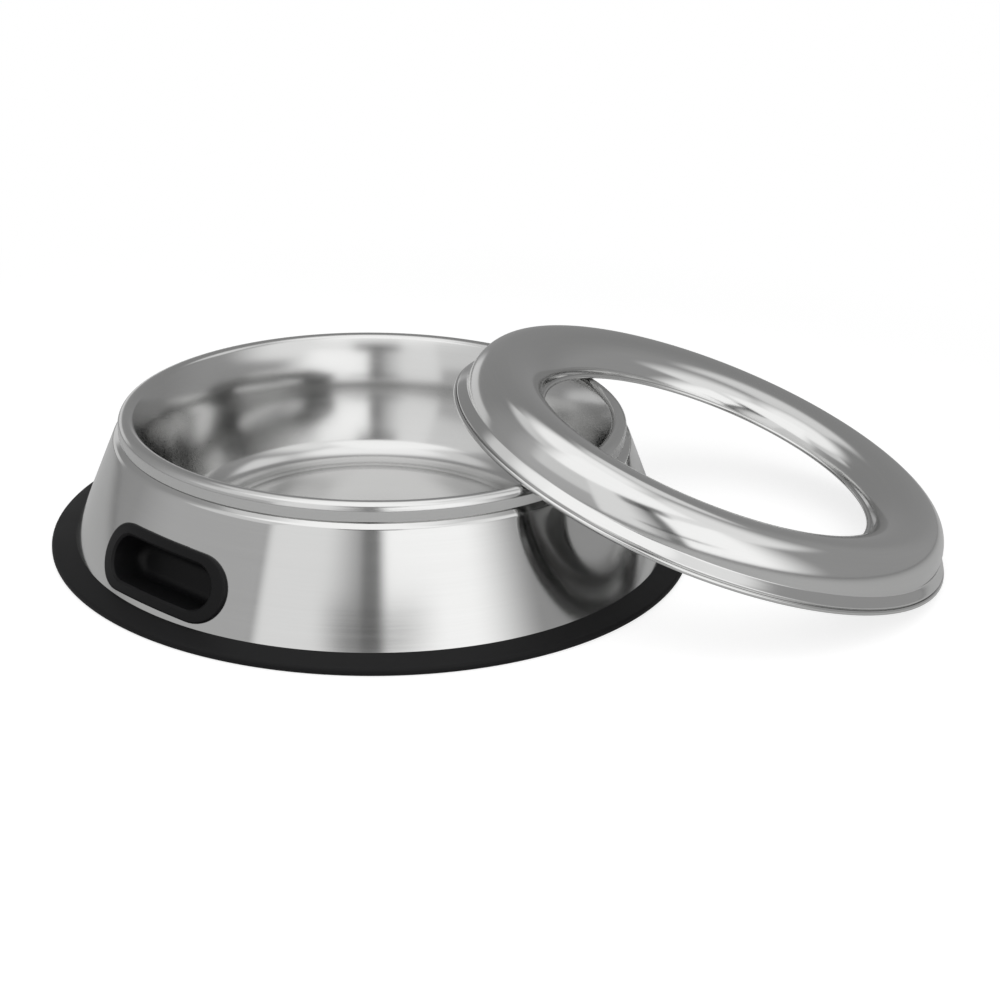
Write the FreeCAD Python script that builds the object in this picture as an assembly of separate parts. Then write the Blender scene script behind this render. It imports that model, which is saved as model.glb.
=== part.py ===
import FreeCAD, Part
import math
import os
from FreeCAD import Placement, Rotation, Vector

# A double-walled dog water bowl with its splash ring leaning against it.
# All sizes are in millimetres. The bowl's axis is Z, the floor is Z = 0.
# Sections are drawn in the XZ plane, where X is the radius from the axis.

# Basin: one sheet, from the centre of the floor to the edge of the rolled rim.
# Its angles are from upright. The floor's middle is pressed up into a low disc.
basin_sheet = 0.8
basin_floor_height = 3.8
basin_floor_bend = 14.0
basin_lower_angle = 28.0
basin_wall_height = 23.1
basin_wall_bend = 73.0
basin_wall_angle = 10.5
basin_flare_bend = 62.0
basin_flare_angle = 30.0
basin_flare_drop = 11.1
basin_disc_rise = 1.0
basin_disc_edge = 8.0
basin_disc_inset = 3.5
basin_disc_bend = 9.0
rim_height = 56.5
rim_outer_radius = 105.8
rim_width = 6.9
rim_leg_clearance = 0.1

# Outer skirt: a cone that ends in a rounded shoulder and an upright collar.
skirt_sheet = 0.8
skirt_cone_angle = 22.0
shoulder_step = 2.1
shoulder_drop = 9.2
shoulder_slope = 33.0
shoulder_bend = 3.5
collar_bend = 0.5
collar_clearance = 0.15
collar_top_drop = 3.3

# Foot ring: rubber moulding with a slot for the skirt's lower edge.
foot_outer_ledge = 8.8
foot_inner_ledge = 9.2
foot_edge_height = 3.0
foot_edge_round = 1.4
foot_web = 2.0
foot_outer_grip_height = 5.0
foot_inner_grip_height = 5.6
foot_inner_grip_thickness = 2.5

# Finger grips: moulded cups, each pushed through an oval hole in the skirt.
grip_front_heading = -134.0
grip_rear_heading = grip_front_heading + 180
grip_height = 19.8
grip_mouth_length = 55.5
grip_mouth_width = 18.0
grip_end_border = 6.5
grip_side_border = 4.5
grip_flange_thickness = 1.6
grip_edge_round = 0.9
grip_depth = 15.0
grip_draft_angle = 9.0
grip_floor_round = 4.0
grip_wall = 1.6
grip_rib_width = 1.8
grip_rib_thickness = 1.4
grip_clearance = 0.25

# Splash ring: one sheet, drawn here about its own axis and from its lowest edge.
ring_sheet = 0.7
ring_neck_clearance = 1.9
ring_height = 21.6
ring_width = 36.5
ring_crest_inset = 15.4
ring_crease_inset = 3.2
ring_crease_height = 6.6
ring_crease_bend = 0.8
ring_mouth_height = 3.0
ring_lip_height = 7.0
ring_lip_bead = 1.0
ring_lip_step = 1.4
ring_outer_bead = 1.0
ring_groove_width = 0.6
ring_groove_depth = 0.4

# How the ring leans: its centre stands this far outside the rim.
lean_heading = -7.2
lean_beyond_rim = 31.4
rest_gap = 0.2

# What follows from those sizes. The skirt's cone is measured on its outer face.
half_rim = rim_width / 2
cone_tan = math.tan(math.radians(skirt_cone_angle))
cone_cos = math.cos(math.radians(skirt_cone_angle))
shoulder_radius = rim_outer_radius + shoulder_step
shoulder_height = rim_height - shoulder_drop
skirt_foot_radius = shoulder_radius + (shoulder_height - foot_web) * cone_tan
collar_radius = rim_outer_radius - basin_sheet - collar_clearance
shoulder_rise = (shoulder_radius - collar_radius) * math.tan(math.radians(shoulder_slope))
collar_foot_height = shoulder_height + shoulder_rise
foot_outer_radius = skirt_foot_radius + foot_outer_ledge
ring_mouth_radius = rim_outer_radius + ring_neck_clearance + ring_sheet
ring_crest_radius = ring_mouth_radius - ring_crest_inset
ring_crease_radius = ring_mouth_radius - ring_crease_inset
ring_hole_radius = ring_mouth_radius - ring_width
lip_centre = (ring_hole_radius + ring_lip_bead, ring_lip_height + ring_lip_bead)
bead_centre = (ring_mouth_radius, ring_outer_bead)
lean_reach = rim_outer_radius + lean_beyond_rim


def at(radius, height):
    return Vector(radius, 0, height)


def right_of(travel):
    return Vector(travel.z, 0, -travel.x)


def straight(start, end, sheet):
    """Both sides of a flat stretch of sheet; the hidden side is on the right."""
    shift = right_of((end - start).normalize()) * sheet
    shown = Part.LineSegment(start, end).toShape()
    hidden = Part.LineSegment(start + shift, end + shift).toShape()
    return shown, hidden


def arc(centre, radius, first, last):
    def on(angle):
        return centre + Vector(math.cos(angle), 0, math.sin(angle)) * radius

    return Part.Arc(on(first), on((first + last) / 2), on(last)).toShape()


def bend(centre, radius, first, last, sheet):
    """Both sides of a bend; turning left puts the hidden side outside it."""
    hidden_radius = radius + sheet if last > first else radius - sheet
    return arc(centre, radius, first, last), arc(centre, hidden_radius, first, last)


def quarter(centre, wide, tall, rising, sheet):
    """Both sides of a quarter ellipse, up to its crest or down from it."""
    fullness = 4 / 3 * (math.sqrt(2) - 1)
    sides = []
    for a, b in ((wide, tall), (wide - sheet, tall - sheet)):
        out = Vector(-a if rising else a, 0, 0)
        up = Vector(0, 0, b)
        poles = [
            centre + out,
            centre + out + up * fullness,
            centre + up + out * fullness,
            centre + up,
        ]
        curve = Part.BezierCurve()
        curve.setPoles(poles if rising else poles[::-1])
        sides.append(curve.toShape())
    return tuple(sides)


def bent_strip(corners, sheet):
    """Stretches of sheet through (point, bend radius) corners, rounded at each bend."""
    strips = []
    start = corners[0][0]
    for (before, _), (corner, radius), (after, _) in zip(corners, corners[1:], corners[2:]):
        come = (corner - before).normalize()
        leave = (after - corner).normalize()
        left = come.x * leave.z - come.z * leave.x > 0
        turn = come.getAngle(leave)
        setback = radius * math.tan(turn / 2)
        side = -1 if left else 1
        centre = corner - come * setback + right_of(come) * radius * side
        from_centre = right_of(come) * -side
        first = math.atan2(from_centre.z, from_centre.x)
        if (corner - come * setback - start).Length > 1e-6:
            strips.append(straight(start, corner - come * setback, sheet))
        strips.append(bend(centre, radius, first, first + (turn if left else -turn), sheet))
        start = corner + leave * setback
    strips.append(straight(start, corners[-1][0], sheet))
    return strips


def spin(strips):
    """A solid of revolution from a strip of sheet."""
    shown = [pair[0] for pair in strips]
    hidden = [pair[1] for pair in strips]
    caps = [
        Part.LineSegment(strips[0][0].Vertexes[0].Point, strips[0][1].Vertexes[0].Point).toShape(),
        Part.LineSegment(strips[-1][0].Vertexes[-1].Point, strips[-1][1].Vertexes[-1].Point).toShape(),
    ]
    outline = Part.Wire(Part.sortEdges(shown + hidden + caps)[0])
    return Part.Face(outline).revolve(Vector(0, 0, 0), Vector(0, 0, 1), 360)


def spin_outline(points):
    outline = Part.makePolygon(points + points[:1])
    return Part.Face(outline).revolve(Vector(0, 0, 0), Vector(0, 0, 1), 360)


def round_bead(radius, height, size):
    return Part.makeTorus(radius, size, Vector(0, 0, height), Vector(0, 0, 1))


def cone_radius(height):
    return skirt_foot_radius - (height - foot_web) * cone_tan


def inside_cone(offset):
    """Everything within the skirt's outer face moved outward by offset."""
    bottom = -rim_height
    top = 2 * rim_height
    grow = offset / cone_cos
    widest = cone_radius(bottom) + grow
    narrowest = cone_radius(top) + grow
    return Part.makeCone(widest, narrowest, top - bottom, Vector(0, 0, bottom))


def setback(radius, turn):
    """How far from its corner a bend starts; the turn is in degrees."""
    return radius * math.tan(math.radians(turn / 2))


def basin_corners():
    """The basin's section from its centre to the end of its rim, worked out rim first."""
    flare = math.tan(math.radians(basin_flare_angle))
    wall = math.tan(math.radians(basin_wall_angle))
    lower = math.tan(math.radians(basin_lower_angle))
    rim_turn = 90 - basin_flare_angle
    rim_start = at(rim_outer_radius - half_rim - setback(half_rim, rim_turn), rim_height)
    flare_foot = rim_start - at(basin_flare_drop * flare, basin_flare_drop)
    wall_drop = flare_foot.z - basin_wall_height
    wall_foot = flare_foot - at(wall_drop * wall, wall_drop)
    lower_drop = wall_foot.z - basin_floor_height
    floor_edge = wall_foot - at(lower_drop * lower, lower_drop)
    floor_turn = 90 - basin_lower_angle
    disc_foot = floor_edge.x - setback(basin_floor_bend, floor_turn) - basin_disc_inset
    disc_top = basin_floor_height + basin_disc_rise
    room = (flare_foot - wall_foot).Length / 2
    flare_bend = min(basin_flare_bend, room / setback(1, basin_flare_angle - basin_wall_angle))
    wall_bend = min(basin_wall_bend, room / setback(1, basin_lower_angle - basin_wall_angle))
    return [
        (at(0, disc_top), 0),
        (at(disc_foot - basin_disc_edge, disc_top), basin_disc_bend),
        (at(disc_foot, basin_floor_height), basin_disc_bend),
        (floor_edge, basin_floor_bend),
        (wall_foot, wall_bend),
        (flare_foot, flare_bend),
        (rim_start, half_rim),
        (at(rim_outer_radius, rim_height), half_rim),
        (at(rim_outer_radius, collar_foot_height + rim_leg_clearance), 0),
    ]


def make_basin():
    return spin(bent_strip(basin_corners(), basin_sheet))


def make_skirt():
    corners = [
        (at(collar_radius, rim_height - collar_top_drop), 0),
        (at(collar_radius, collar_foot_height), collar_bend),
        (at(shoulder_radius, shoulder_height), shoulder_bend),
        (at(skirt_foot_radius, foot_web), 0),
    ]
    return spin(bent_strip(corners, skirt_sheet))


def make_foot(skirt):
    slope_start = at(foot_outer_radius, foot_edge_height)
    inner_face = cone_radius(foot_inner_grip_height) - skirt_sheet / cone_cos
    outline = [
        at(skirt_foot_radius - foot_inner_ledge, 0),
        at(foot_outer_radius, 0),
        slope_start,
        at(cone_radius(foot_outer_grip_height), foot_outer_grip_height),
        at(inner_face + skirt_sheet / 2, foot_inner_grip_height),
        at(inner_face - foot_inner_grip_thickness, foot_inner_grip_height),
    ]
    ring = spin_outline(outline)
    rim_edges = [
        edge
        for edge in ring.Edges
        if isinstance(edge.Curve, Part.Circle) and abs(edge.Curve.Radius - foot_outer_radius) < 1e-6
    ]
    return ring.makeFillet(foot_edge_round, rim_edges).cut(skirt)


def oval(length, width, height):
    """A flat-sided oval outline, in the plane that lies against the cone."""
    half = (length - width) / 2
    r = width / 2
    ends = [
        Vector(-half, -r, height),
        Vector(half, -r, height),
        Vector(half + r, 0, height),
        Vector(half, r, height),
        Vector(-half, r, height),
        Vector(-half - r, 0, height),
    ]
    return Part.Wire(
        [
            Part.LineSegment(ends[0], ends[1]).toShape(),
            Part.Arc(ends[1], ends[2], ends[3]).toShape(),
            Part.LineSegment(ends[3], ends[4]).toShape(),
            Part.Arc(ends[4], ends[5], ends[0]).toShape(),
        ]
    )


def oval_block(length, width):
    """An oval column that passes through the skirt's sheet."""
    reach = 2 * grip_depth
    return Part.Face(oval(length, width, -reach)).extrude(Vector(0, 0, 2 * reach))


def oval_well(length, width, depth, floor_round):
    """A tapered oval pit from above the flange down to its rounded floor."""
    above = 2 * grip_flange_thickness
    spread = 2 * math.tan(math.radians(grip_draft_angle))
    top = oval(length + above * spread, width + above * spread, above)
    floor = oval(length - depth * spread, width - depth * spread, -depth)
    well = Part.makeLoft([top, floor], True, True)
    floor_edges = [edge for edge in well.Edges if all(abs(v.Z + depth) < 1e-6 for v in edge.Vertexes)]
    return well.makeFillet(floor_round, floor_edges)


# The grip's own plane: X along the skirt, Y up its slope, Z straight out of it.
slope = math.radians(skirt_cone_angle)
against_cone = Placement(
    Vector(cone_radius(grip_height), 0, grip_height),
    Rotation(
        Vector(0, 1, 0),
        Vector(-math.sin(slope), 0, math.cos(slope)),
        Vector(math.cos(slope), 0, math.sin(slope)),
    ),
)
cup_length = grip_mouth_length + 2 * grip_wall
cup_width = grip_mouth_width + 2 * grip_wall
flange_length = grip_mouth_length + 2 * grip_end_border
flange_width = grip_mouth_width + 2 * grip_side_border


def placed(shape):
    moved = shape.copy()
    moved.Placement = against_cone.multiply(moved.Placement)
    return moved


def on_flange_face(edge):
    """Whether an edge lies in the flange's outer face."""
    middle = edge.valueAt((edge.FirstParameter + edge.LastParameter) / 2)
    outside = math.hypot(middle.x, middle.y) - cone_radius(middle.z)
    return abs(outside * cone_cos - grip_flange_thickness) < 1e-3


def make_grip():
    flange = placed(oval_block(flange_length, flange_width))
    flange = flange.common(inside_cone(grip_flange_thickness)).cut(inside_cone(0))
    rib_face = -skirt_sheet - grip_clearance
    rib = placed(oval_block(cup_length + 2 * grip_rib_width, cup_width + 2 * grip_rib_width))
    rib = rib.common(inside_cone(rib_face)).cut(inside_cone(rib_face - grip_rib_thickness))
    column = placed(oval_block(cup_length, cup_width)).common(inside_cone(grip_flange_thickness))
    neck = column.cut(inside_cone(rib_face - grip_rib_thickness))
    cup = placed(oval_well(cup_length, cup_width, grip_depth + grip_wall, grip_floor_round + grip_wall))
    pit = placed(oval_well(grip_mouth_length, grip_mouth_width, grip_depth, grip_floor_round))
    grip = flange.fuse([rib, neck, cup.common(column)]).cut(pit).removeSplitter()
    return grip.makeFillet(grip_edge_round, [edge for edge in grip.Edges if on_flange_face(edge)])


def grip_hole():
    length = cup_length + 2 * grip_clearance
    width = cup_width + 2 * grip_clearance
    return placed(oval_block(length, width))


def turned(shape, heading):
    moved = shape.copy()
    moved.rotate(Vector(0, 0, 0), Vector(0, 0, 1), heading)
    return moved


def make_flat_ring():
    """The splash ring about its own axis, standing on its outer bead."""
    hole_side = ring_hole_radius + ring_lip_step
    crest_base = at(ring_crest_radius, lip_centre[1])
    rise = quarter(crest_base, ring_crest_radius - hole_side, ring_height - lip_centre[1], True, ring_sheet)
    outer_base = at(ring_crest_radius, ring_crease_height)
    fall_reach = ring_crease_radius - ring_crest_radius
    fall = quarter(outer_base, fall_reach, ring_height - ring_crease_height, False, ring_sheet)
    band = bent_strip(
        [
            (at(ring_crease_radius, ring_crease_height), 0),
            (at(ring_crease_radius, ring_crease_height - ring_crease_bend / 2), ring_crease_bend),
            (at(ring_mouth_radius, ring_mouth_height), ring_crease_bend),
            (at(ring_mouth_radius, ring_outer_bead), 0),
        ],
        ring_sheet,
    )
    ring = spin([rise, fall] + band)
    ring = ring.fuse([round_bead(*lip_centre, ring_lip_bead), round_bead(*bead_centre, ring_outer_bead)])
    groove_floor = ring_mouth_radius - ring_groove_depth
    groove_low = 2 * ring_outer_bead
    groove = spin_outline(
        [
            at(groove_floor, groove_low),
            at(ring_mouth_radius + ring_sheet, groove_low),
            at(ring_mouth_radius + ring_sheet, groove_low + ring_groove_width),
            at(groove_floor, groove_low + ring_groove_width),
        ]
    )
    return ring.cut(groove)


def lean_placement(tilt):
    """The ring's place when it leans by tilt, with its outer bead on the floor."""
    heading = math.radians(lean_heading)
    towards = Vector(math.cos(heading), math.sin(heading), 0)
    across = Vector(-math.sin(heading), math.cos(heading), 0)
    rotation = Rotation(across, math.degrees(tilt))
    lowest = bead_centre[1] * math.cos(tilt) - bead_centre[0] * math.sin(tilt) - ring_outer_bead
    return Placement(towards * lean_reach - Vector(0, 0, lowest), rotation)


def gap_to_rim(tilt):
    """The least distance between the leaning ring's two beads and the rolled rim."""
    place = lean_placement(tilt)
    roll_radius = rim_outer_radius - half_rim
    roll_height = rim_height - half_rim
    least = math.inf
    for (radius, height), bead in ((lip_centre, ring_lip_bead), (bead_centre, ring_outer_bead)):
        for step in range(720):
            angle = math.radians(step / 2)
            point = place.multVec(Vector(radius * math.cos(angle), radius * math.sin(angle), height))
            away = math.hypot(math.hypot(point.x, point.y) - roll_radius, point.z - roll_height)
            least = min(least, away - half_rim - bead)
    return least


def resting_tilt():
    """Lowers the ring from a steep tilt until a bead meets the rim."""
    step = math.radians(1)
    high = math.radians(60)
    while high > step and gap_to_rim(high - step) > rest_gap:
        high -= step
    low = high - step
    for _ in range(20):
        middle = (low + high) / 2
        if gap_to_rim(middle) > rest_gap:
            high = middle
        else:
            low = middle
    return high


def make_leaning_ring():
    ring = make_flat_ring()
    ring.Placement = lean_placement(resting_tilt())
    return ring


skirt = make_skirt()
foot = make_foot(skirt)
for heading in (grip_front_heading, grip_rear_heading):
    skirt = skirt.cut(turned(grip_hole(), heading))

parts = {
    "basin": make_basin(),
    "outer_skirt": skirt,
    "foot_ring": foot,
    "splash_ring": make_leaning_ring(),
    "grip_front": turned(make_grip(), grip_front_heading),
    "grip_rear": turned(make_grip(), grip_rear_heading),
}

os.makedirs("parts", exist_ok=True)
for name, shape in parts.items():
    shape.exportStep(f"parts/{name}.step")
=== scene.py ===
import math

import bmesh
import bpy
from mathutils import Euler, Matrix, Vector


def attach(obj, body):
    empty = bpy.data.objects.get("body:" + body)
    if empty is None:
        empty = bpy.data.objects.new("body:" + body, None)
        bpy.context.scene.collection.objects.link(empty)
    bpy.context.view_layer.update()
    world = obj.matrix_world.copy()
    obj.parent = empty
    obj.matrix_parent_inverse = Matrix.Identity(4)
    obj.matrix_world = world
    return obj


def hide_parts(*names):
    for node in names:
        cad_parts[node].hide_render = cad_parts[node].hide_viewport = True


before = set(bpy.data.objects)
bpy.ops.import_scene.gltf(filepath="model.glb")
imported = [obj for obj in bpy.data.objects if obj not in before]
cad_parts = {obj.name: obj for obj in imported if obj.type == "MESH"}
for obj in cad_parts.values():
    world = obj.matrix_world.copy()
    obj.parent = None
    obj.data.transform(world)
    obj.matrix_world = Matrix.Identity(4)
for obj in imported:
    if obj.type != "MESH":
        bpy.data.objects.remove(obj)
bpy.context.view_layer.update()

# Sizes in millimetres, as the construction has them.
MM = 0.001

basin_sheet = 0.8
basin_floor_height = 3.8
basin_floor_bend = 14.0
basin_lower_angle = 28.0
basin_wall_height = 23.1
basin_wall_bend = 73.0
basin_wall_angle = 10.5
basin_flare_bend = 62.0
basin_flare_angle = 30.0
basin_flare_drop = 11.1
basin_disc_rise = 1.0
basin_disc_edge = 8.0
basin_disc_inset = 3.5
basin_disc_bend = 9.0
rim_height = 56.5
rim_outer_radius = 105.8
rim_width = 6.9
rim_leg_clearance = 0.1

skirt_sheet = 0.8
skirt_cone_angle = 22.0
shoulder_step = 2.1
shoulder_drop = 9.2
shoulder_slope = 33.0
shoulder_bend = 3.5
collar_bend = 0.5
collar_clearance = 0.15
collar_top_drop = 3.3

foot_outer_ledge = 8.8
foot_inner_ledge = 9.2
foot_edge_height = 3.0
foot_edge_round = 1.4
foot_web = 2.0
foot_outer_grip_height = 5.0
foot_inner_grip_height = 5.6
foot_inner_grip_thickness = 2.5

grip_headings = {"grip_front": -134.0, "grip_rear": 46.0}
grip_height = 19.8
grip_mouth_length = 55.5
grip_mouth_width = 18.0
grip_end_border = 6.5
grip_side_border = 4.5
grip_flange_thickness = 1.6
grip_edge_round = 0.9
grip_depth = 15.0
grip_draft_angle = 9.0
grip_floor_round = 4.0
grip_wall = 1.6
grip_rib_width = 1.8
grip_rib_thickness = 1.4
grip_clearance = 0.25
grip_hole_reach = 12.0
# The part of a pit's depth that its flange's edge takes up before the wall.
well_start = 0.35

ring_sheet = 0.7
ring_neck_clearance = 1.9
ring_height = 21.6
ring_width = 36.5
ring_crest_inset = 15.4
ring_crease_inset = 3.2
ring_crease_height = 6.6
ring_crease_bend = 0.8
ring_mouth_height = 3.0
ring_lip_height = 7.0
ring_lip_bead = 1.0
ring_lip_step = 1.4
ring_outer_bead = 1.0
ring_groove_width = 0.6
ring_groove_depth = 0.4

# The tilt is what the construction works out from where the ring touches the
# rim and the floor.
lean_heading = -7.2
lean_beyond_rim = 31.4
lean_tilt = 18.107

# How finely the meshes are divided, and where they are shaded with an edge.
segments_round = 288
dome_steps = 28
roll_steps = 24
least_bend_steps = 3
oval_points = 96
well_wall_steps = 4
well_floor_steps = 6
mouth_edge_steps = 4
flange_edge_steps = 6
cone_search_steps = 6
sharp_edge_angle = 32.0
on_axis = 1e-6

# The camera, in the photograph's pixels and in metres.
image_size = 1000
focal_pixels = 1967.0
bowl_axis_pixel = (373.8, 531.1)
camera_elevation = 23.4
camera_distance = 0.847
camera_roll = -0.15
camera_clip_start = 0.01
sensor_width = 36.0

# Looks. Lengths are in metres, noise scales per metre, tones and roughnesses
# are how far a value moves either way or the limits it moves between.
steel_colour = (0.62, 0.62, 0.615)
basin_roughness = 0.17
skirt_roughness = 0.11
ring_roughness = 0.12
steel_anisotropy = 0.4
steel_grain_turn = 0.25
# Turned marks: width, length and detail, and the radius where they have it.
fine_marks = (0.0007, 0.03, 3.0)
broad_marks = (0.006, 0.12, 2.0)
mark_radius = 0.1
mark_contrast = 0.6
fine_tone = 0.025
broad_tone = 0.02
steel_roughness_spread = 0.02
cloud_scale = 28.0
wave_scale = 22.0
wave_depth = 0.0003
mark_depth = 0.00001
steel_bump_strength = 0.2

rubber_colour = (0.010, 0.010, 0.0105)
rubber_specular = 0.16
rubber_tone = (0.85, 1.15)
rubber_roughness = (0.52, 0.66)
rubber_grain_scale = 2600.0
rubber_grain_depth = 0.00006
rubber_grain_strength = 0.4
rubber_blotch_scale = 60.0

grip_colour = (0.007, 0.007, 0.0075)
grip_specular = 0.17
grip_tone = (0.9, 1.1)
grip_roughness = (0.38, 0.5)
grip_grain_scale = 1900.0
grip_grain_depth = 0.00005
grip_grain_strength = 0.5
grip_blotch_scale = 90.0

# Studio, in metres: a white floor that takes the object's shadow near it, and
# a dome of light. The floor takes a share of real light in its middle, and its
# own glow makes up for that up to white. Metal shows the white at shown_share,
# and only in its first reflection.
floor_radius = 4.0
floor_segments = 96
floor_share = 0.4
floor_share_radius = 0.28
floor_share_margin = 0.08
open_floor_light = 0.55
shown_share = 0.30
shown_ray_depth = 1.5
tent_radius = 0.58
tent_rows = 30
tent_segments = 120
tent_base = 0.32

# Panels of light, where the brightest counts, and dark cards in front of them:
# strength or depth, then azimuth limits, the widths of their soft edges,
# elevation limits and the widths of theirs. All are in degrees, seen from the
# floor under the bowl. Azimuth 0 is where the camera stands, and it grows to
# the right.
panels = {
    "left box": (0.73, (-37, -19), (5, 21), (4, 50), (6, 12)),
    "left high": (0.55, (-72, -40), (20, 10), (26, 60), (8, 10)),
    "left side": (0.24, (-78, -42), (40, 4), (-5, 60), (1, 15)),
    "right box": (1.10, (6, 32), (6, 31), (4, 40), (6, 8)),
    "right high": (0.80, (18, 62), (14, 40), (36, 62), (8, 14)),
    "strip under the gap": (0.30, (-14, 10), (8, 8), (8, 14.2), (4, 0.5)),
    "front fill": (0.08, (-100, 100), (40, 40), (-5, 90), (1, 1)),
    "overhead": (1.08, (-55, 28), (45, 45), (51, 90), (7, 1)),
    "overhead left": (0.55, (-145, -50), (12, 40), (60, 90), (8, 1)),
    "rear lamp": (0.65, (108, 138), (20, 12), (50, 62), (8, 10)),
    "left rear strip": (0.45, (-168, -130), (10, 14), (2, 13), (2, 5)),
    "top": (1.00, (-180, 180), (1, 1), (76, 90), (18, 1)),
}
cards = {
    "gap": (0.35, (-2.5, 0.5), (3.5, 3), (-5, 46), (1, 2)),
    "bar over the gap": (0.60, (-12, 8), (8, 8), (41, 46), (3, 5)),
    "foot of the gap": (0.60, (-8, 6), (14, 20), (14.0, 15.6), (1.2, 1.4)),
}


# Outlines: lists of (radius, height) points in millimetres.

def arc(centre, radius, first, last, steps):
    """Points on an arc; first and last are angles in degrees from straight out."""
    points = []
    for step in range(steps + 1):
        angle = math.radians(first + (last - first) * step / steps)
        points.append((centre[0] + radius * math.cos(angle), centre[1] + radius * math.sin(angle)))
    return points


def run(start, end, pitch):
    """Points along a straight stretch, without its last one."""
    steps = max(1, round(math.dist(start, end) / pitch))
    return [
        tuple(a + (b - a) * step / steps for a, b in zip(start, end))
        for step in range(steps)
    ]


def rounded(corners, pitch, bend_pitch=6.0):
    """A path through (radius, height, bend) corners, with each bend rounded."""
    path = []
    start = Vector(corners[0][:2])
    for before, corner, after in zip(corners, corners[1:], corners[2:]):
        point = Vector(corner[:2])
        come = (point - Vector(before[:2])).normalized()
        leave = (Vector(after[:2]) - point).normalized()
        turn = come.angle_signed(leave)
        left = come.x * leave.y - come.y * leave.x > 0
        turn = abs(turn)
        setback = corner[2] * math.tan(turn / 2)
        side = Vector((-come.y, come.x)) if left else Vector((come.y, -come.x))
        centre = point - come * setback + side * corner[2]
        first = math.degrees(math.atan2(-side.y, -side.x))
        sweep = math.degrees(turn) * (1 if left else -1)
        path += run(tuple(start), tuple(point - come * setback), pitch)
        steps = max(least_bend_steps, round(abs(sweep) / bend_pitch))
        path += arc(centre, corner[2], first, first + sweep, steps)[:-1]
        start = point + leave * setback
    path += run(tuple(start), corners[-1][:2], pitch)
    path.append(tuple(corners[-1][:2]))
    return path


def offset(path, distance):
    """The path moved to the right of its own direction."""
    moved = []
    for index, point in enumerate(path):
        before = Vector(path[max(index - 1, 0)])
        after = Vector(path[min(index + 1, len(path) - 1)])
        travel = (after - before).normalized()
        moved.append((point[0] + travel.y * distance, point[1] - travel.x * distance))
    return moved


def sheet(path, thickness):
    """The closed outline of a bent sheet: its shown side, then its hidden side."""
    return path + offset(path, thickness)[::-1]


cone_tan = math.tan(math.radians(skirt_cone_angle))
cone_cos = math.cos(math.radians(skirt_cone_angle))
half_rim = rim_width / 2
shoulder_radius = rim_outer_radius + shoulder_step
shoulder_height = rim_height - shoulder_drop
skirt_foot_radius = shoulder_radius + (shoulder_height - foot_web) * cone_tan
collar_radius = rim_outer_radius - basin_sheet - collar_clearance
shoulder_rise = (shoulder_radius - collar_radius) * math.tan(math.radians(shoulder_slope))
collar_foot_height = shoulder_height + shoulder_rise
foot_outer_radius = skirt_foot_radius + foot_outer_ledge
ring_mouth_radius = rim_outer_radius + ring_neck_clearance + ring_sheet
ring_crest_radius = ring_mouth_radius - ring_crest_inset
ring_crease_radius = ring_mouth_radius - ring_crease_inset
ring_hole_radius = ring_mouth_radius - ring_width
lean_reach = rim_outer_radius + lean_beyond_rim


def cone_radius(height):
    return skirt_foot_radius - (height - foot_web) * cone_tan


def setback(radius, turn):
    """How far from its corner a bend starts; the turn is in degrees."""
    return radius * math.tan(math.radians(turn / 2))


def basin_outline():
    flare = math.tan(math.radians(basin_flare_angle))
    wall = math.tan(math.radians(basin_wall_angle))
    lower = math.tan(math.radians(basin_lower_angle))
    rim_start = rim_outer_radius - half_rim - setback(half_rim, 90 - basin_flare_angle)
    flare_height = rim_height - basin_flare_drop
    flare_radius = rim_start - basin_flare_drop * flare
    wall_radius = flare_radius - (flare_height - basin_wall_height) * wall
    edge_radius = wall_radius - (basin_wall_height - basin_floor_height) * lower
    disc_foot = edge_radius - setback(basin_floor_bend, 90 - basin_lower_angle) - basin_disc_inset
    disc_top = basin_floor_height + basin_disc_rise
    path = rounded(
        [
            (0.0, disc_top, 0),
            (disc_foot - basin_disc_edge, disc_top, basin_disc_bend),
            (disc_foot, basin_floor_height, basin_disc_bend),
            (edge_radius, basin_floor_height, basin_floor_bend),
            (wall_radius, basin_wall_height, basin_wall_bend),
            (flare_radius, flare_height, basin_flare_bend),
            (rim_start, rim_height, half_rim),
            (rim_outer_radius, rim_height, half_rim),
            (rim_outer_radius, collar_foot_height + rim_leg_clearance, 0),
        ],
        pitch=6.0,
        bend_pitch=2.5,
    )
    return sheet(path, basin_sheet)


def skirt_outline():
    path = rounded(
        [
            (collar_radius, rim_height - collar_top_drop, 0),
            (collar_radius, collar_foot_height, collar_bend),
            (shoulder_radius, shoulder_height, shoulder_bend),
            (skirt_foot_radius, foot_web, 0),
        ],
        pitch=3.0,
        bend_pitch=5.0,
    )
    return sheet(path, skirt_sheet)


def foot_outline():
    face = cone_radius(foot_inner_grip_height) - skirt_sheet / cone_cos
    outside = rounded(
        [
            (skirt_foot_radius - foot_inner_ledge, 0, 0),
            (foot_outer_radius, 0, foot_edge_round),
            (foot_outer_radius, foot_edge_height, foot_edge_round),
            (cone_radius(foot_outer_grip_height), foot_outer_grip_height, 0),
        ],
        pitch=4.0,
        bend_pitch=12.0,
    )
    slot = [
        (cone_radius(foot_web), foot_web),
        (cone_radius(foot_web) - skirt_sheet / cone_cos, foot_web),
        (face, foot_inner_grip_height),
        (face - foot_inner_grip_thickness, foot_inner_grip_height),
    ]
    return outside + slot


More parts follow.
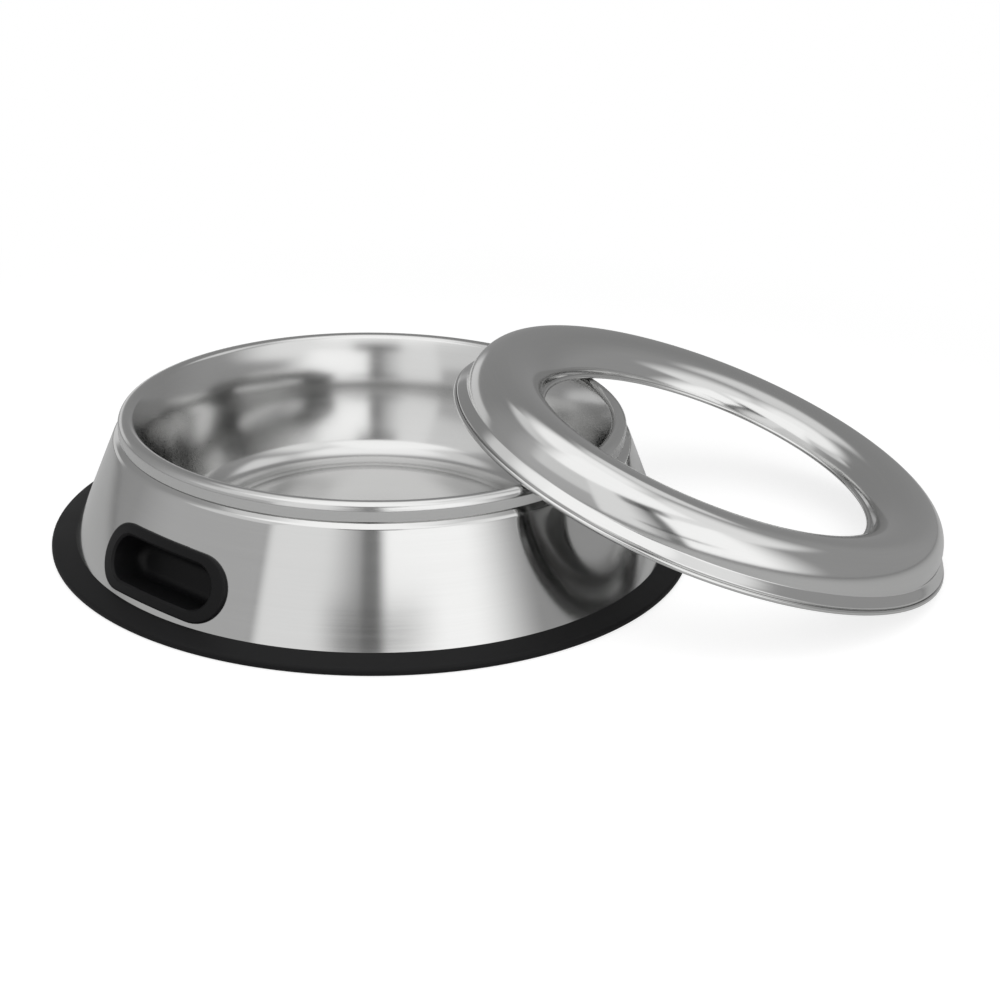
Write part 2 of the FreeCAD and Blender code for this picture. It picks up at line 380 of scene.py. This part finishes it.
def ring_outline():
    lip = (ring_hole_radius + ring_lip_bead, ring_lip_height + ring_lip_bead)
    hole_side = ring_hole_radius + ring_lip_step
    bead = (ring_mouth_radius, ring_outer_bead)
    dome = []
    for step in range(dome_steps + 1):
        angle = math.pi - math.pi / 2 * step / dome_steps
        dome.append(
            (
                ring_crest_radius + (ring_crest_radius - hole_side) * math.cos(angle),
                lip[1] + (ring_height - lip[1]) * math.sin(angle),
            )
        )
    for step in range(1, dome_steps + 1):
        angle = math.pi / 2 - math.pi / 2 * step / dome_steps
        dome.append(
            (
                ring_crest_radius + (ring_crease_radius - ring_crest_radius) * math.cos(angle),
                ring_crease_height + (ring_height - ring_crease_height) * math.sin(angle),
            )
        )
    band = rounded(
        [
            (ring_crease_radius, ring_crease_height, 0),
            (ring_crease_radius, ring_crease_height - ring_crease_bend / 2, ring_crease_bend),
            (ring_mouth_radius, ring_mouth_height, ring_crease_bend),
            (ring_mouth_radius, 2 * ring_outer_bead + ring_groove_width, 0),
        ],
        pitch=1.0,
        bend_pitch=8.0,
    )
    shown = dome + band[1:]
    hidden = offset(shown, ring_sheet)
    lip_start = math.degrees(math.acos((hole_side - lip[0]) / ring_lip_bead))
    lip_roll = arc(lip, ring_lip_bead, 360.0, lip_start, roll_steps)
    groove_radius = ring_mouth_radius - ring_groove_depth
    groove = [
        (groove_radius, 2 * ring_outer_bead + ring_groove_width),
        (groove_radius, 2 * ring_outer_bead),
    ]
    bead_end = math.degrees(math.acos(-ring_sheet / ring_outer_bead))
    bead_roll = arc(bead, ring_outer_bead, 90.0, bead_end - 360.0, roll_steps)

    def clear_of_lip(side, height):
        """The side's points beyond the crest, and those before it above the height."""
        return [point for point in side if point[0] > ring_crest_radius or point[1] > height]

    above_lip = clear_of_lip(shown, lip[1] + ring_lip_bead)
    under = clear_of_lip(hidden, lip[1] + ring_lip_bead / 2)
    return lip_roll + above_lip + groove + bead_roll + under[::-1]


# Meshes.

def circle(radius, height, count):
    """Evenly spaced points round the Z axis."""
    turns = [2 * math.pi * step / count for step in range(count)]
    return [(radius * math.cos(turn), radius * math.sin(turn), height) for turn in turns]


def strip(low, high, count):
    """Quads between two closed loops; low and high are their first vertices."""
    pairs = [(step, (step + 1) % count) for step in range(count)]
    return [(low + step, low + after, high + after, high + step) for step, after in pairs]


def spin(name, outline, place=None, closed=True):
    """Turns an outline about the Z axis into one mesh, in metres, then places it."""
    vertices = []
    rings = []
    for radius, height in outline:
        first = len(vertices)
        if radius < on_axis:
            vertices.append((0, 0, height))
            rings.append([first] * segments_round)
            continue
        vertices += circle(radius, height, segments_round)
        rings.append(list(range(first, first + segments_round)))
    pairs = list(zip(rings, rings[1:]))
    if closed:
        pairs.append((rings[-1], rings[0]))
    faces = []
    for low, high in pairs:
        for step in range(segments_round):
            after = (step + 1) % segments_round
            face = []
            for corner in (low[step], low[after], high[after], high[step]):
                if corner not in face:
                    face.append(corner)
            if len(face) > 2:
                faces.append(face)
    return mesh_object(name, vertices, faces, place)


def mesh_object(name, vertices, faces, place=None):
    """A smooth mesh from millimetre points. Its place is in its vertices."""
    mesh = bpy.data.meshes.new(name)
    mesh.from_pydata([Vector(point) * MM for point in vertices], [], faces)
    if place is not None:
        mesh.transform(place)
    finish_mesh(mesh)
    made = bpy.data.objects.new(name, mesh)
    bpy.context.scene.collection.objects.link(made)
    return made


def finish_mesh(mesh):
    """Faces out, smooth, with the real edges kept sharp."""
    work = bmesh.new()
    work.from_mesh(mesh)
    bmesh.ops.recalc_face_normals(work, faces=work.faces)
    work.to_mesh(mesh)
    work.free()
    mesh.shade_smooth()
    mesh.set_sharp_from_angle(angle=math.radians(sharp_edge_angle))


def lean_matrix():
    """Where the splash ring lies as it leans on the rim."""
    heading = math.radians(lean_heading)
    towards = Vector((math.cos(heading), math.sin(heading), 0))
    across = Vector((-math.sin(heading), math.cos(heading), 0))
    tilt = math.radians(lean_tilt)
    bead_drop = ring_mouth_radius * math.sin(tilt)
    bead_low = ring_outer_bead * math.cos(tilt) - bead_drop - ring_outer_bead
    base = towards * lean_reach - Vector((0, 0, bead_low))
    return Matrix.Translation(base * MM) @ Matrix.Rotation(tilt, 4, across)


def oval(length, width, count=oval_points):
    """Evenly spaced points round a flat-sided oval."""
    half = (length - width) / 2
    radius = width / 2
    straight = 2 * half
    bend = math.pi * radius
    total = 2 * (straight + bend)
    points = []
    for step in range(count):
        along = (step + 0.5) / count * total
        if along < straight:
            points.append((-half + along, -radius))
        elif along < straight + bend:
            angle = -math.pi / 2 + (along - straight) / radius
            points.append((half + radius * math.cos(angle), radius * math.sin(angle)))
        elif along < 2 * straight + bend:
            points.append((half - (along - straight - bend), radius))
        else:
            angle = math.pi / 2 + (along - 2 * straight - bend) / radius
            points.append((-half + radius * math.cos(angle), radius * math.sin(angle)))
    return points


def grip_frame(heading):
    """The grip's own plane: X along the skirt, Y up its slope, Z straight out."""
    slope = math.radians(skirt_cone_angle)
    turn = Matrix.Rotation(math.radians(heading), 4, "Z")
    centre = Vector((cone_radius(grip_height), 0, grip_height))
    axes = Matrix(
        (
            (0, -math.sin(slope), math.cos(slope), centre.x),
            (1, 0, 0, centre.y),
            (0, math.cos(slope), math.sin(slope), centre.z),
            (0, 0, 0, 1),
        )
    )
    return turn, axes


def over_cone(x, y, axes, rise):
    """The height over the grip's plane where the cone, moved out by rise, lies."""
    depth = 0.0
    for _ in range(cone_search_steps):
        point = axes @ Vector((x, y, depth))
        outside = (math.hypot(point.x, point.y) - cone_radius(point.z)) * cone_cos
        depth += rise - outside
    return depth


def make_grip(name, heading):
    """The finger cup: loops from the middle of its pit, over the flange and back."""
    turn, axes = grip_frame(heading)
    cup_length = grip_mouth_length + 2 * grip_wall
    cup_width = grip_mouth_width + 2 * grip_wall
    flange_length = grip_mouth_length + 2 * grip_end_border
    flange_width = grip_mouth_width + 2 * grip_side_border
    draft = 2 * math.tan(math.radians(grip_draft_angle))
    loops = []

    def on_cone(length, width, rise):
        loops.append([(x, y, over_cone(x, y, axes, rise)) for x, y in oval(length, width)])

    def on_plane(length, width, depth):
        loops.append([(x, y, -depth) for x, y in oval(length, width)])

    def well(length, width, depth, floor_round, outward):
        """Side wall, rounded floor edge and floor of a tapered pit."""
        rows = []
        start = well_start * depth
        bottom = depth - floor_round
        for step in range(well_wall_steps + 1):
            down = start + (bottom - start) * step / well_wall_steps
            rows.append((down * draft, down))
        for step in range(1, well_floor_steps + 1):
            angle = math.pi / 2 * step / well_floor_steps
            down = bottom + floor_round * math.sin(angle)
            shrink = bottom * draft + 2 * floor_round * (1 - math.cos(angle))
            rows.append((shrink, down))
        for shrink, down in rows:
            on_plane(length - shrink, width - shrink, down)
        if outward:
            loops.reverse()

    # Pit, from the centre of its floor outward.
    well(grip_mouth_length, grip_mouth_width, grip_depth, grip_floor_round, True)
    for step in range(mouth_edge_steps + 1):
        angle = math.pi / 2 * step / mouth_edge_steps
        inward = grip_edge_round * (1 - math.sin(angle))
        wider = 2 * (grip_edge_round - inward)
        rise = grip_flange_thickness - inward
        on_cone(grip_mouth_length + wider, grip_mouth_width + wider, rise)
    for step in range(flange_edge_steps + 1):
        angle = math.pi / 2 * step / flange_edge_steps
        narrower = 2 * grip_edge_round * (1 - math.sin(angle))
        drop = grip_edge_round * (1 - math.cos(angle))
        rise = grip_flange_thickness - drop
        on_cone(flange_length - narrower, flange_width - narrower, rise)
    on_cone(flange_length, flange_width, 0.0)
    on_cone(cup_length, cup_width, 0.0)
    rib_length = cup_length + 2 * grip_rib_width
    rib_width = cup_width + 2 * grip_rib_width
    rib_face = -skirt_sheet - grip_clearance
    on_cone(cup_length, cup_width, rib_face)
    on_cone(rib_length, rib_width, rib_face)
    on_cone(rib_length, rib_width, rib_face - grip_rib_thickness)
    on_cone(cup_length, cup_width, rib_face - grip_rib_thickness)
    well(cup_length, cup_width, grip_depth + grip_wall, grip_floor_round + grip_wall, False)

    vertices = [point for loop in loops for point in loop]
    count = len(loops[0])
    faces = [list(range(count))]
    for row in range(len(loops) - 1):
        faces += strip(row * count, (row + 1) * count, count)
    faces.append(list(range((len(loops) - 1) * count, len(loops) * count)))
    vertices = [turn @ (axes @ Vector(point)) for point in vertices]
    return mesh_object(name, vertices, faces)


def cut_grip_hole(skirt, heading):
    """Cuts the oval hole that a grip is pushed through."""
    turn, axes = grip_frame(heading)
    length = grip_mouth_length + 2 * grip_wall + 2 * grip_clearance
    width = grip_mouth_width + 2 * grip_wall + 2 * grip_clearance
    outline = oval(length, width)
    count = len(outline)
    ends = (-grip_hole_reach, grip_hole_reach)
    vertices = [turn @ (axes @ Vector((x, y, z))) for z in ends for x, y in outline]
    faces = [list(range(count)), list(range(count, 2 * count))] + strip(0, count, count)
    cutter = mesh_object("hole_cutter", vertices, faces)
    cut = skirt.modifiers.new("hole", "BOOLEAN")
    cut.operation = "DIFFERENCE"
    cut.solver = "EXACT"
    cut.object = cutter
    depsgraph = bpy.context.evaluated_depsgraph_get()
    result = bpy.data.meshes.new_from_object(skirt.evaluated_get(depsgraph))
    skirt.modifiers.clear()
    skirt.data = result
    bpy.data.objects.remove(cutter)


# Materials.

def add(tree, kind, inputs=None, **settings):
    """A node with its settings made and its inputs filled or linked."""
    made = tree.nodes.new(kind)
    for key, value in settings.items():
        setattr(made, key, value)
    for key, value in (inputs or {}).items():
        if isinstance(value, bpy.types.NodeSocket):
            tree.links.new(value, made.inputs[key])
        else:
            made.inputs[key].default_value = value
    return made


def calc(tree, operation, *values):
    """A sum or other operation on values and sockets."""
    made = add(tree, "ShaderNodeMath", dict(enumerate(values)), operation=operation)
    return made.outputs[0]


def spread(tree, value, low, high):
    """Maps 0..1 to low..high."""
    made = add(tree, "ShaderNodeMapRange", {"Value": value, "To Min": low, "To Max": high})
    return made.outputs["Result"]


def fade(tree, value, low, high, start=0.0, end=1.0):
    """Goes smoothly from start, where the value is low, to end, where it is high."""
    made = add(
        tree,
        "ShaderNodeMapRange",
        {"Value": value, "From Min": low, "From Max": high, "To Min": start, "To Max": end},
        interpolation_type="SMOOTHSTEP",
    )
    return made.outputs["Result"]


def empty_tree(owner):
    """The cleared node tree of a material or world."""
    owner.use_nodes = True
    owner.node_tree.nodes.clear()
    return owner.node_tree


def put_out(tree, shader, kind="ShaderNodeOutputMaterial"):
    """Links a shader to a new output."""
    output = add(tree, kind)
    tree.links.new(shader.outputs[0], output.inputs["Surface"])


def new_material(name):
    material = bpy.data.materials.new(name)
    tree = empty_tree(material)
    shader = add(tree, "ShaderNodeBsdfPrincipled")
    put_out(tree, shader)
    return material, tree, shader


def tint(tree, colour, value):
    """The colour, made lighter or darker by the value."""
    made = add(tree, "ShaderNodeHueSaturation", {"Color": (*colour, 1.0), "Value": value})
    return made.outputs["Color"]


def vector_length(tree, vector):
    return add(tree, "ShaderNodeVectorMath", {0: vector}, operation="LENGTH").outputs["Value"]


def unit(tree, vector):
    return add(tree, "ShaderNodeVectorMath", {0: vector}, operation="NORMALIZE").outputs["Vector"]


def noise(tree, vector, scale, detail=2.0, roughness=0.5, w=None):
    inputs = {"Vector": vector, "Scale": scale, "Detail": detail, "Roughness": roughness}
    dimensions = "3D"
    if w is not None:
        inputs["W"] = w
        dimensions = "4D"
    made = add(tree, "ShaderNodeTexNoise", inputs, noise_dimensions=dimensions)
    return made.outputs["Fac"]


def bump(tree, height, distance, strength, normal=None):
    inputs = {"Height": height, "Distance": distance, "Strength": strength}
    if normal is not None:
        inputs["Normal"] = normal
    return add(tree, "ShaderNodeBump", inputs).outputs["Normal"]


def steel(name, roughness, place=None):
    """Satin stainless sheet with fine marks left by polishing as it spun."""
    material, tree, shader = new_material(name)
    where = add(tree, "ShaderNodeTexCoord").outputs["Object"]
    if place is not None:
        turn = place.to_euler()
        where = add(
            tree,
            "ShaderNodeMapping",
            {"Vector": where, "Location": place.to_translation(), "Rotation": turn},
            vector_type="TEXTURE",
        ).outputs["Vector"]
    axes = add(tree, "ShaderNodeSeparateXYZ", {"Vector": where})
    across = {"X": axes.outputs["X"], "Y": axes.outputs["Y"]}
    flat = add(tree, "ShaderNodeCombineXYZ", across).outputs["Vector"]
    radius = vector_length(tree, flat)
    outward = unit(tree, flat)
    way = add(tree, "ShaderNodeSeparateXYZ", {"Vector": outward})

    def turned_marks(pitch, length, detail):
        """Noise drawn out round the axis, each mark about pitch wide and length long."""
        vector = add(
            tree,
            "ShaderNodeCombineXYZ",
            {
                "X": calc(tree, "MULTIPLY", way.outputs["X"], mark_radius / length),
                "Y": calc(tree, "MULTIPLY", way.outputs["Y"], mark_radius / length),
                "Z": calc(tree, "DIVIDE", radius, pitch),
            },
        ).outputs["Vector"]
        level = calc(tree, "DIVIDE", axes.outputs["Z"], pitch)
        return noise(tree, vector, 1.0, detail, mark_contrast, w=level)

    def either_way(value, middle, amount):
        return spread(tree, value, middle - amount, middle + amount)

    fine = turned_marks(*fine_marks)
    broad = turned_marks(*broad_marks)
    cloud = noise(tree, where, cloud_scale, 2.0)
    tone = calc(tree, "ADD", either_way(fine, 0, fine_tone), either_way(broad, 0, broad_tone))
    colour = tint(tree, steel_colour, calc(tree, "ADD", 1.0, tone))
    tree.links.new(colour, shader.inputs["Base Color"])
    shader.inputs["Metallic"].default_value = 1.0
    amount = steel_roughness_spread
    rough = calc(tree, "ADD", either_way(fine, 0, amount), either_way(broad, 0, amount))
    rough = calc(tree, "ADD", rough, either_way(cloud, roughness, amount))
    tree.links.new(rough, shader.inputs["Roughness"])
    shader.inputs["Anisotropic"].default_value = steel_anisotropy
    shader.inputs["Anisotropic Rotation"].default_value = steel_grain_turn
    local_axis = Vector((0, 0, 1))
    if place is not None:
        local_axis = place.to_3x3() @ local_axis
        outward = add(
            tree,
            "ShaderNodeVectorRotate",
            {"Vector": outward, "Rotation": turn},
            rotation_type="EULER_XYZ",
        ).outputs["Vector"]
    tangent = add(
        tree, "ShaderNodeVectorMath", {0: tuple(local_axis), 1: outward}, operation="CROSS_PRODUCT"
    ).outputs["Vector"]
    tree.links.new(tangent, shader.inputs["Tangent"])
    waves = noise(tree, where, wave_scale, 1.0)
    surface = bump(tree, waves, wave_depth, steel_bump_strength)
    surface = bump(tree, fine, mark_depth, steel_bump_strength, surface)
    tree.links.new(surface, shader.inputs["Normal"])
    return material


def rubber(name):
    """Matt black moulded rubber with a fine grain."""
    material, tree, shader = new_material(name)
    where = add(tree, "ShaderNodeTexCoord").outputs["Object"]
    grain = noise(tree, where, rubber_grain_scale, 2.0)
    blotch = noise(tree, where, rubber_blotch_scale, 3.0)
    colour = tint(tree, rubber_colour, spread(tree, blotch, *rubber_tone))
    surface = bump(tree, grain, rubber_grain_depth, rubber_grain_strength)
    tree.links.new(colour, shader.inputs["Base Color"])
    tree.links.new(spread(tree, blotch, *rubber_roughness), shader.inputs["Roughness"])
    shader.inputs["Specular IOR Level"].default_value = rubber_specular
    tree.links.new(surface, shader.inputs["Normal"])
    return material


def grip_plastic(name):
    """Black moulded plastic with a spark-eroded grain."""
    material, tree, shader = new_material(name)
    where = add(tree, "ShaderNodeTexCoord").outputs["Object"]
    grain = noise(tree, where, grip_grain_scale, 3.0)
    blotch = noise(tree, where, grip_blotch_scale, 2.0)
    colour = tint(tree, grip_colour, spread(tree, blotch, *grip_tone))
    surface = bump(tree, grain, grip_grain_depth, grip_grain_strength)
    tree.links.new(colour, shader.inputs["Base Color"])
    tree.links.new(spread(tree, grain, *grip_roughness), shader.inputs["Roughness"])
    shader.inputs["Specular IOR Level"].default_value = grip_specular
    tree.links.new(surface, shader.inputs["Normal"])
    return material


def dress(piece, material, body="root"):
    """Gives a piece its one material and the body that it rides on."""
    piece.data.materials.clear()
    piece.data.materials.append(material)
    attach(piece, body)


ring_place = lean_matrix()
basin_steel = steel("basin_steel", basin_roughness)
skirt_steel = steel("skirt_steel", skirt_roughness)
ring_steel = steel("ring_steel", ring_roughness, ring_place)
foot_rubber = rubber("foot_rubber")
black_plastic = grip_plastic("grip_plastic")

basin = spin("spun_basin", basin_outline(), closed=False)
dress(basin, basin_steel)
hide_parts("basin")

skirt = spin("spun_skirt", skirt_outline())
for heading in grip_headings.values():
    cut_grip_hole(skirt, heading)
dress(skirt, skirt_steel)
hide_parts("outer_skirt")

ring = spin("spun_splash_ring", ring_outline(), ring_place)
dress(ring, ring_steel)
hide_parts("splash_ring")

foot = spin("moulded_foot", foot_outline())
dress(foot, foot_rubber)
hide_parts("foot_ring")

for node, heading in grip_headings.items():
    grip = make_grip("moulded_" + node, heading)
    dress(grip, black_plastic)
    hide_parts(node)


# Studio: the white floor, the tent of light and the white world.

def camera_or_gloss(tree):
    """1 for what the camera sees, and less for what metal or glass shows of it."""
    path = add(tree, "ShaderNodeLightPath").outputs
    shown = calc(tree, "MAXIMUM", path["Is Glossy Ray"], path["Is Transmission Ray"])
    first = calc(tree, "LESS_THAN", path["Ray Depth"], shown_ray_depth)
    shown = calc(tree, "MULTIPLY", shown, first)
    shown = calc(tree, "MULTIPLY", shown, shown_share)
    return calc(tree, "MAXIMUM", path["Is Camera Ray"], shown)


def make_floor():
    points = [(0.0, 0.0, 0.0)] + circle(floor_radius / MM, 0.0, floor_segments)
    faces = [(0, 1 + step, 1 + (step + 1) % floor_segments) for step in range(floor_segments)]
    made = mesh_object("studio_floor", points, faces)
    material = bpy.data.materials.new("studio_floor")
    tree = empty_tree(material)
    away = vector_length(tree, add(tree, "ShaderNodeTexCoord").outputs["Object"])
    share_end = tent_radius - floor_share_margin
    near = fade(tree, away, floor_share_radius, share_end, 1.0, 0.0)
    share = calc(tree, "MULTIPLY", near, floor_share)
    tone = add(tree, "ShaderNodeCombineColor", {"Red": share, "Green": share, "Blue": share})
    matt = add(tree, "ShaderNodeBsdfDiffuse", {"Color": tone.outputs["Color"]})
    rest = calc(tree, "SUBTRACT", 1.0, calc(tree, "MULTIPLY", share, open_floor_light))
    strength = calc(tree, "MULTIPLY", camera_or_gloss(tree), rest)
    glow = add(tree, "ShaderNodeEmission", {"Strength": strength})
    put_out(tree, add(tree, "ShaderNodeAddShader", {0: matt.outputs[0], 1: glow.outputs[0]}))
    made.data.materials.append(material)


make_floor()


def window(tree, value, low, high, low_edge, high_edge):
    """1 between low and high, falling smoothly to 0 over each edge's width."""
    rise = fade(tree, value, low - low_edge, low)
    fall = fade(tree, value, high, high + high_edge, 1.0, 0.0)
    return calc(tree, "MULTIPLY", rise, fall)


def make_tent():
    """A dome of light that the camera doesn't see."""
    radius = tent_radius / MM
    count = tent_segments
    points = []
    for row in range(tent_rows):
        up = math.pi / 2 * row / tent_rows
        points += circle(radius * math.cos(up), radius * math.sin(up), count)
    top = len(points)
    points.append((0.0, 0.0, radius))
    last = (tent_rows - 1) * count
    faces = []
    for low in range(0, last, count):
        faces += strip(low, low + count, count)
    faces += [(last + step, last + (step + 1) % count, top) for step in range(count)]
    made = mesh_object("studio_tent", points, faces)
    material = bpy.data.materials.new("studio_tent")
    tree = empty_tree(material)
    where = unit(tree, add(tree, "ShaderNodeTexCoord").outputs["Object"])
    way = add(tree, "ShaderNodeSeparateXYZ", {"Vector": where})
    front = calc(tree, "MULTIPLY", way.outputs["Y"], -1.0)
    azimuth = calc(tree, "DEGREES", calc(tree, "ARCTAN2", way.outputs["X"], front))
    elevation = calc(tree, "DEGREES", calc(tree, "ARCSINE", way.outputs["Z"]))

    def patch(strength, sides, side_edges, heights, height_edges):
        """A panel's or card's strength where it is, and 0 elsewhere."""
        wide = window(tree, azimuth, *sides, *side_edges)
        tall = window(tree, elevation, *heights, *height_edges)
        return calc(tree, "MULTIPLY", calc(tree, "MULTIPLY", wide, tall), strength)

    brightest = 0.0
    for panel in panels.values():
        brightest = calc(tree, "MAXIMUM", brightest, patch(*panel))
    total = calc(tree, "ADD", brightest, tent_base)
    for card in cards.values():
        total = calc(tree, "MULTIPLY", total, calc(tree, "SUBTRACT", 1.0, patch(*card)))
    put_out(tree, add(tree, "ShaderNodeEmission", {"Strength": total}))
    made.data.materials.append(material)
    material.cycles.emission_sampling = "NONE"
    made.visible_camera = False


make_tent()


def make_world():
    """White for the camera; the tent lights the object."""
    world = bpy.data.worlds.new("studio")
    bpy.context.scene.world = world
    tree = empty_tree(world)
    white = {"Color": (1, 1, 1, 1), "Strength": camera_or_gloss(tree)}
    put_out(tree, add(tree, "ShaderNodeBackground", white), "ShaderNodeOutputWorld")


make_world()


def make_camera():
    """Aims the camera so that the bowl lies where it does in the photograph."""
    data = bpy.data.cameras.new("camera")
    data.sensor_width = sensor_width
    data.lens = focal_pixels * sensor_width / image_size
    data.clip_start = camera_clip_start
    camera = bpy.data.objects.new("camera", data)
    bpy.context.scene.collection.objects.link(camera)
    bpy.context.scene.camera = camera
    elevation = math.radians(camera_elevation)
    middle = image_size / 2
    aim = Vector(
        (
            (bowl_axis_pixel[0] - middle) / focal_pixels,
            (middle - bowl_axis_pixel[1]) / focal_pixels,
            -1.0,
        )
    ).normalized()
    look = Euler((math.pi / 2 - elevation, 0, 0)).to_matrix()
    roll = Matrix.Rotation(math.radians(camera_roll), 3, "Z")
    swing = Vector((0, 0, -1)).rotation_difference(aim).to_matrix()
    place = (look @ roll.transposed() @ swing.transposed()).to_4x4()
    place.translation = Vector((0, -math.cos(elevation), math.sin(elevation))) * camera_distance
    camera.matrix_world = place


make_camera()
bpy.context.scene.view_settings.view_transform = "Standard"
